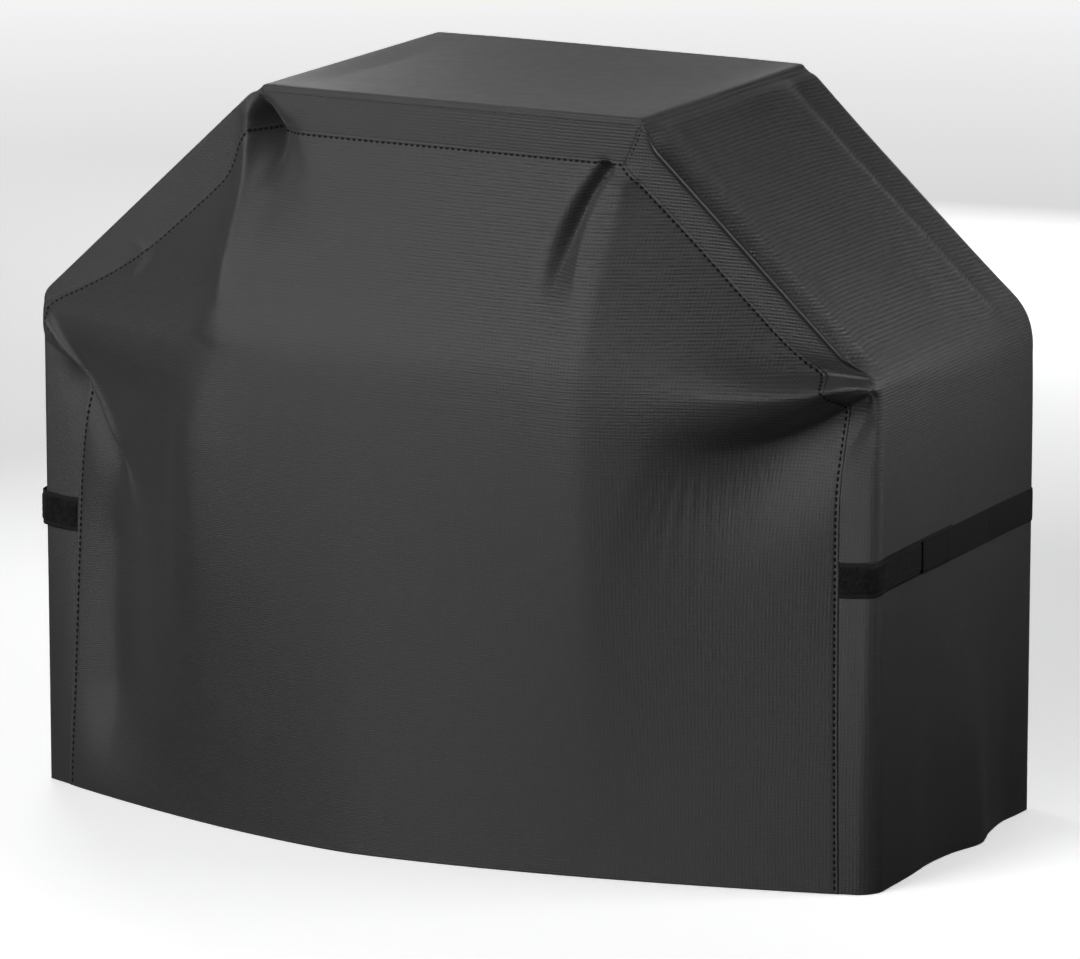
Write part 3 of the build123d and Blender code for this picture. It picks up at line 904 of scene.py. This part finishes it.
def stitch_row(name, surface, places, facing, pitch, size):
    """Separate stitches along a row of a surface's 2-D places; size is (length, width, height)."""
    u, w = places[:, 0], places[:, 1]
    nudge = 0.0008
    points = surface(u, w)
    along_u = surface(u + nudge, w) - surface(u - nudge, w)
    along_w = surface(u, w + nudge) - surface(u, w - nudge)
    out = np.cross(along_u, along_w)
    out *= np.sign(out @ np.array(facing, float))[:, None]
    before = distances(points)
    count = max(2, int(before[-1] / pitch))
    middles = (np.arange(count) + 0.5) * before[-1] / count

    def at(values, where):
        return np.stack([np.interp(where, before, values[:, i]) for i in range(3)], -1)

    def unit(vectors):
        return vectors / np.linalg.norm(vectors, axis=1)[:, None]

    length, width, height = size
    centre = at(points, middles)
    ahead = unit(at(points, middles + pitch / 2) - at(points, middles - pitch / 2))
    side = unit(np.cross(at(out, middles), ahead))
    slant = 0.06 * np.sin(7.1 * np.arange(count))[:, None]
    ahead, side = unit(ahead + slant * side), unit(side - slant * ahead)
    up = np.cross(ahead, side)
    rings, cloth = [], []
    for place, girth, lift in STITCH_RINGS:
        for k in range(STITCH_SIDES):
            turn = 2 * math.pi * k / STITCH_SIDES
            sideways = math.cos(turn) * girth * width / 2
            upwards = (math.sin(turn) * girth / 2 + lift) * height
            rings.append(centre + ahead * place * length + side * sideways + up * upwards)
            cloth.append((turn * width / 2, place * length))
    points = np.stack(rings, 1)
    cloth = np.tile(np.array(cloth), (count, 1))
    faces = []
    for first in range(0, len(cloth), len(STITCH_RINGS) * STITCH_SIDES):
        for r in range(len(STITCH_RINGS) - 1):
            for k in range(STITCH_SIDES):
                a, b = first + r * STITCH_SIDES + k, first + r * STITCH_SIDES + (k + 1) % STITCH_SIDES
                faces.append((a, b, b + STITCH_SIDES, a + STITCH_SIDES))
        faces.append(tuple(first + k for k in reversed(range(STITCH_SIDES))))
        last = first + (len(STITCH_RINGS) - 1) * STITCH_SIDES
        faces.append(tuple(last + k for k in range(STITCH_SIDES)))
    return faced_object(name, points, faces, cloth, [THREAD])


def joined(name, pieces):
    """One object from several."""
    with bpy.context.temp_override(active_object=pieces[0], selected_editable_objects=pieces):
        bpy.ops.object.join()
    pieces[0].name = name
    return pieces[0]


SEAM_PITCH = 0.0102
SEAM_STITCH = (0.0068, 0.0039, 0.0018)  # length, width and height
FINE_PITCH = 0.0052
FINE_STITCH = (0.0034, 0.0011, 0.0009)
FINE_DROP = 0.0115  # the fine row lies this far down the front wrap
MITRE_PITCH = 0.0072
MITRE_STITCH = (0.0048, 0.0019, 0.0013)
MITRE_INSET = 0.0055
FORWARD, BACKWARD = (0, -1, 0), (0, 1, 0)
ROW_LIFT = LAP_LIFT - STITCH_SINK  # cloth's height along the stitched row


def seam_stitches():
    """The rows that hold the lapped panels."""
    rows = (
        ("front_seam_stitches", FRONT_EDGES, front_point, FORWARD, "front_seam_thread"),
        ("back_seam_stitches", BACK_EDGES, back_point, BACKWARD, "back_seam_thread"),
    )
    for name, edges, point, facing, node in rows:
        places = seam_row(edges, STITCH_INSET)
        piece = stitch_row(name, lambda x, z: point(x, z, ROW_LIFT), places, facing, SEAM_PITCH, SEAM_STITCH)
        fit(piece, "cover", "thread", node)


def edge_stitches():
    """The fine row along the top's front edge, just below the fold."""
    t = spaced(SEAM_T + 0.008, PROFILE_RUN, 0.004)
    places = np.stack([t, np.full(t.shape, -FINE_DROP)], -1)
    halves = []
    for hand in (1, -1):
        row = places if hand > 0 else places[::-1]
        surface = lambda t, v, hand=hand: saddle_point(t, v, hand)
        halves.append(stitch_row(f"edge_row_{hand}", surface, row, FORWARD, FINE_PITCH, FINE_STITCH))
    fit(joined("top_edge_stitches", halves), "cover", "thread", "top_edge_thread")


def mitre_stitches():
    """Rows beside the four mitred seams of the wraps."""
    rows = []
    for hand in (1, -1):
        for start, end, facing in ((-0.062, -0.010, FORWARD), (DEPTH + 0.062, DEPTH + 0.014, BACKWARD)):
            v = spaced(start, end, 0.003)
            places = np.stack([np.full(v.shape, SEAM_T - MITRE_INSET), v], -1)
            surface = lambda t, v, hand=hand: saddle_point(t, v, hand)
            name = f"mitre_row_{len(rows)}"
            rows.append(stitch_row(name, surface, places, facing, MITRE_PITCH, MITRE_STITCH))
    fit(joined("mitre_stitches", rows), "cover", "thread")


seam_stitches()
edge_stitches()
mitre_stitches()


# ------------------------------ straps
STRAP_HALF = 0.026
STRAP_THICK = 0.0016
STRAP_SAG = 0.0085  # the strap and its strip lie this much lower on the front wrap
LEFT_BOW = 0.006  # the left strap stands this far off its corner
SHOULDER_DROP = (SLOPE_RUN - (HALF - TOP_HALF)) / (TOP - SHOULDER)  # of the outline, for each unit of inset
TAPE_HALF = 0.0275  # half-width of the loop strip with its borders
TAPE_LIFT = 0.0011
NAP_HALF = 0.0215
NAP_LIFT = 0.0026
NAP_EDGE = 0.0009  # height of the nap's edge
HOOK_THICK = 0.0010
ROOT_LIFT = 0.0004
TAB_TIP, TAB_ROOT, LOOP_END = 0.156, 0.256, 0.272  # back from the front edge
HINGE = DEPTH - 0.040
STRAP_SPLIT = 0.400
ROOT_END = DEPTH + 0.062
STRAP_CORNER = 0.006  # radius of the tab's corners
STRAP_PITCH = 0.0042
STRAP_STITCH = (0.0030, 0.0011, 0.0008)
TAB_ROW, BORDER_ROW, ROOT_ROW = 0.0225, 0.0245, 0.021  # rows' distances from the middle line
BEND = 0.016  # length over which a strap bends at a hinge


class Side:
    """One side's strap: where it lies on the cover."""

    def __init__(self, name, hand):
        low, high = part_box(f"{name}_strap_tab")
        self.name, self.hand = name, hand
        self.height = (low.z + high.z) / 2

    def point(self, v, w, lift):
        """A point w above the strap's middle line and lift out of the cloth."""
        sag = STRAP_SAG * smooth((0.04 - v) / 0.10)
        bow = LEFT_BOW * bump(v - 0.015, 0.045) if self.hand < 0 else 0.0
        z = self.height - sag + w
        inset = np.maximum(np.maximum(-v, v - DEPTH), 0)
        t = z * SIDE_RUN / (SHOULDER - inset * SHOULDER_DROP)
        return saddle_point(t, v, self.hand, lift + bow)

    def lift(self, v):
        """Underside of the strap: on the cloth at its root, on the hook patch at its tab."""
        on_tab = NAP_LIFT + HOOK_THICK
        return ROOT_LIFT + (on_tab - ROOT_LIFT) * smooth((HINGE - v) / (HINGE - TAB_ROOT))

    def at(self, v):
        """The strap's middle at a station, as a plain point."""
        return tuple(float(c) for c in self.point(np.array(v), np.array(0.0), np.array(0.001)))


def webbing_grid(side, v, tip=None):
    """Outer face of the strap: soft borders, and rounded corners at its tip."""
    share = np.concatenate([[-1, -0.975, -0.93], np.linspace(-0.85, 0.85, 13), [0.93, 0.975, 1]])
    vv, ss = grid(v, share)
    half = np.full(vv.shape, STRAP_HALF)
    if tip is not None:
        gap = np.clip(1 - (vv - tip) / STRAP_CORNER, 0, 1)
        half = half - STRAP_CORNER * (1 - np.sqrt(1 - gap**2 * 0.999))
    crown = STRAP_THICK - 0.0006 * np.abs(ss) ** 8
    return side.point(vv, ss * half, side.lift(vv) + crown)


def strap_ribbons(side):
    """One strap in two lengths, split between its two hinges."""
    rear = np.concatenate([
        spaced(ROOT_END, DEPTH + 0.035, 0.004),
        spaced(DEPTH + 0.033, HINGE - 0.02, 0.002),
        spaced(HINGE - 0.024, STRAP_SPLIT, 0.004),
    ])
    ahead = np.concatenate([
        spaced(STRAP_SPLIT, TAB_ROOT + 0.02, 0.004),
        spaced(TAB_ROOT + 0.018, TAB_ROOT - 0.02, 0.002),
        spaced(TAB_ROOT - 0.024, TAB_TIP + 0.008, 0.004),
        TAB_TIP + np.array([0.006, 0.0045, 0.003, 0.0018, 0.0009, 0.0003, 0.0]),
    ])
    strap, tab = f"{side.name}_strap", f"{side.name}_tab"
    lengths = (
        ("strap_rear", rear, None, "cover", strap, HINGE, 0.008, ["strap_root"]),
        ("strap_front", ahead, TAB_TIP, strap, tab, TAB_ROOT, 0.001, ["strap", "strap_tab"]),
    )
    for label, v, tip, before, after, hinge, lead, nodes in lengths:
        name = f"{side.name}_{label}"
        piece = final(ribbon(name, webbing_grid(side, v, tip), WEBBING, STRAP_THICK, side.hand > 0))
        start, end = side.at(hinge + lead), side.at(hinge + lead - BEND)
        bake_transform(piece)
        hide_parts(*(f"{side.name}_{node}" for node in nodes))


def final(obj):
    """Applies the object's modifiers."""
    depsgraph = bpy.context.evaluated_depsgraph_get()
    depsgraph.update()
    obj.data = bpy.data.meshes.new_from_object(obj.evaluated_get(depsgraph))
    obj.modifiers.clear()
    return obj


def scatter(u, w, seed):
    """A repeatable uneven value between 0 and 1 for each place."""
    value = np.sin(u * 12989.8 + w * 78233.0 + seed) * 43758.5453
    return value - np.floor(value)


def loop_strip(side):
    """Sewn strip: a flat woven tape with a raised, matted nap between its borders."""
    v = [spaced(-0.072, -0.032, 0.004), spaced(-0.030, 0.032, 0.002), spaced(0.036, LOOP_END, 0.006)]
    vv, ww = grid(np.concatenate(v), np.linspace(-TAPE_HALF, TAPE_HALF, 12))
    points = side.point(vv, ww, TAPE_LIFT)
    tape = ribbon(f"{side.name}_loop_tape", points, TAPE_BORDER, 0.0008, side.hand < 0)
    fit(tape, "cover", "loop_pile", f"{side.name}_loop_strip")
    v = spaced(-0.0635, LOOP_END - 0.004, 0.0016)
    w = spaced(-NAP_HALF, NAP_HALF, 0.0016)
    vv, ww = grid(v, w)
    edge = np.minimum(np.minimum(ww + NAP_HALF, NAP_HALF - ww), np.minimum(vv - v[0], v[-1] - vv))
    height = NAP_EDGE + (NAP_LIFT - NAP_EDGE) * smooth(edge / 0.0028)
    height = height + 0.0007 * (scatter(vv, ww, 1.0) - 0.5) * smooth(edge / 0.002)
    ragged = 0.0005 * (scatter(vv, ww, 5.0) - 0.5)
    points = side.point(vv + ragged, ww + ragged, height)
    nap = ribbon(f"{side.name}_loop_nap", points, PILE, 0.0005, side.hand < 0)
    fit(nap, "cover", "loop_pile")


def hook_patch(side):
    """Hook tape under the tab."""
    v, w = grid(spaced(TAB_TIP + 0.003, TAB_ROOT - 0.006, 0.004), spaced(-0.023, 0.023, 0.004))
    top = side.point(v, w, side.lift(v) - 0.0001)
    patch = final(ribbon(f"{side.name}_hooks", top, HOOKS, HOOK_THICK, side.hand < 0))
    fit(patch, f"{side.name}_tab", "hook_plastic", f"{side.name}_hook_patch")


def boxed_rows(low_v, high_v, half, cross=False):
    """Rows (v, w) round a rectangle, and over its diagonals if it is crossed."""
    corners = [(low_v, -half), (high_v, -half), (high_v, half), (low_v, half), (low_v, -half)]
    ends = list(zip(corners[:-1], corners[1:]))
    if cross:
        ends += [((low_v, -half), (high_v, half)), ((low_v, half), (high_v, -half))]
    return [np.linspace(a, b, 40) for a, b in ends]


def strap_stitches(side):
    """Stitches round the tab, along the loop strip's borders, and in a crossed box at the strap's root."""
    sideways = (side.hand, 0, 0)
    web = lambda v, w: side.point(v, w, side.lift(v) + STRAP_THICK)
    border = lambda v, w: side.point(v, w, TAPE_LIFT + 0.0002)
    shown = spaced(0.022, TAB_TIP - 0.002, 0.004)
    loops = [np.array([(v, sign * BORDER_ROW) for v in shown]) for sign in (-1, 1)]
    groups = (
        ("tab", web, boxed_rows(TAB_TIP + 0.004, TAB_ROOT - 0.006, TAB_ROW), sideways, f"{side.name}_tab"),
        ("loop", border, loops, sideways, "cover"),
        ("anchor", web, boxed_rows(DEPTH + 0.020, ROOT_END - 0.003, ROOT_ROW, True), BACKWARD, "cover"),
    )
    for label, surface, rows, facing, body in groups:
        parts = []
        for row in rows:
            name = f"{side.name}_{label}_row_{len(parts)}"
            parts.append(stitch_row(name, surface, row, facing, STRAP_PITCH, STRAP_STITCH))
        piece = joined(f"{side.name}_{label}_stitching", parts)
        fit(piece, body, "thread", f"{side.name}_{label}_stitches")


for side in (Side(*which) for which in HANDS):
    loop_strip(side)
    strap_ribbons(side)
    hook_patch(side)
    strap_stitches(side)


# ------------------------------ stage, lights and camera
def studio_bowl():
    """Pale floor that turns up into a wall all round."""
    radii = [0.0, 3.0, 8.0, 14.0, 17.0, 19.0, 20.0, 20.0]
    heights = [0.0, 0.0, 0.0, 0.0, 0.6, 2.5, 6.0, 16.0]
    turns = 96
    angles = np.linspace(0, 2 * math.pi, turns + 1)
    rings = [[[r * math.cos(a), r * math.sin(a), h] for a in angles] for r, h in zip(radii, heights)]
    rings = np.array(rings)
    material = Nodes("studio_white")
    cloudy = material.noise(material.place(), 0.4, 1.0)
    material.set(Base_Color=material.mix(cloudy, (0.86, 0.86, 0.87, 1), (0.9, 0.9, 0.9, 1)), Roughness=0.95)
    glow = material.span(material.reach(), 2.0, 9.0, 0.35, 0.95)
    material.set(Emission_Color=(1, 1, 1, 1), Emission_Strength=glow)
    bowl = grid_object("studio_floor", rings, np.zeros(rings.shape[:2] + (2,)), [material.material])
    bowl.location.z = -0.0008
    bowl.visible_diffuse = False
    bowl.visible_glossy = False


def from_angles(azimuth, elevation, distance, target):
    """A place seen from the target at these angles; azimuth 0 is straight ahead of the front."""
    a, e = math.radians(azimuth), math.radians(elevation)
    direction = np.array([math.sin(a) * math.cos(e), -math.cos(a) * math.cos(e), math.sin(e)])
    return np.array(target) + direction * distance


def aimed(name, data, place, target):
    """A lamp or camera at a place, turned to its target."""
    obj = placed(name, data)
    obj.location = place
    direction = Vector(target) - obj.location
    obj.rotation_euler = direction.to_track_quat("-Z", "Y").to_euler()
    return obj


def softbox(name, azimuth, elevation, distance, width, height, power):
    """A large lamp at these angles from the cover's middle."""
    lamp = bpy.data.lights.new(name, "AREA")
    lamp.shape = "RECTANGLE"
    lamp.size, lamp.size_y = width, height
    lamp.energy = power
    target = (0, MIDDLE, 0.55)
    aimed(name, lamp, from_angles(azimuth, elevation, distance, target), target)


def near_lamp(name, place, target, size, power):
    """A small round lamp close to the cover."""
    lamp = bpy.data.lights.new(name, "AREA")
    lamp.shape = "DISK"
    lamp.size = size
    lamp.energy = power
    aimed(name, lamp, place, target)


def studio_world():
    """Dim surroundings, lighter overhead, that fill the shadows."""
    world = bpy.data.worlds.new("studio")
    world.use_nodes = True
    tree = world.node_tree
    place = tree.nodes.new("ShaderNodeTexCoord")
    split = tree.nodes.new("ShaderNodeSeparateXYZ")
    span = tree.nodes.new("ShaderNodeMapRange")
    for key, value in {"From Min": -0.5, "From Max": 0.3, "To Min": 0.008, "To Max": 0.02}.items():
        span.inputs[key].default_value = value
    tree.links.new(place.outputs["Generated"], split.inputs[0])
    tree.links.new(split.outputs[2], span.inputs["Value"])
    tree.links.new(span.outputs[0], tree.nodes["Background"].inputs["Strength"])
    bpy.context.scene.world = world


def add_camera():
    """A long lens, from the front right and a little above."""
    camera = bpy.data.cameras.new("camera")
    camera.lens = 247.7
    camera.sensor_width = 36.0
    camera.clip_end = 100.0
    target = (0.005, MIDDLE, 0.513)
    place = from_angles(27.98, 12.86, 11.766, target)
    bpy.context.scene.camera = aimed("camera", camera, place, target)


studio_bowl()
studio_world()
softbox("key", -15, 30, 5.0, 2.4, 2.0, 160)
softbox("low_fill", 0, 5, 5.0, 2.4, 1.6, 60)
softbox("high_left", -30, 60, 4.5, 2.4, 2.0, 16)
softbox("rear_top", 180, 50, 4.0, 2.4, 2.0, 7)
softbox("rear_fill", -170, 8, 5.0, 2.4, 1.2, 40)
softbox("right_top", 70, 56, 3.0, 1.4, 1.4, 4)
near_lamp("right_near", (1.5, MIDDLE + 0.12, 1.1), (HALF, MIDDLE, 0.75), 0.5, 8.5)
near_lamp("top_left", (-1.75, MIDDLE + 1.3, 1.72), (0, MIDDLE, 1.1), 0.9, 18)
add_camera()
bpy.context.scene.view_settings.view_transform = "Standard"
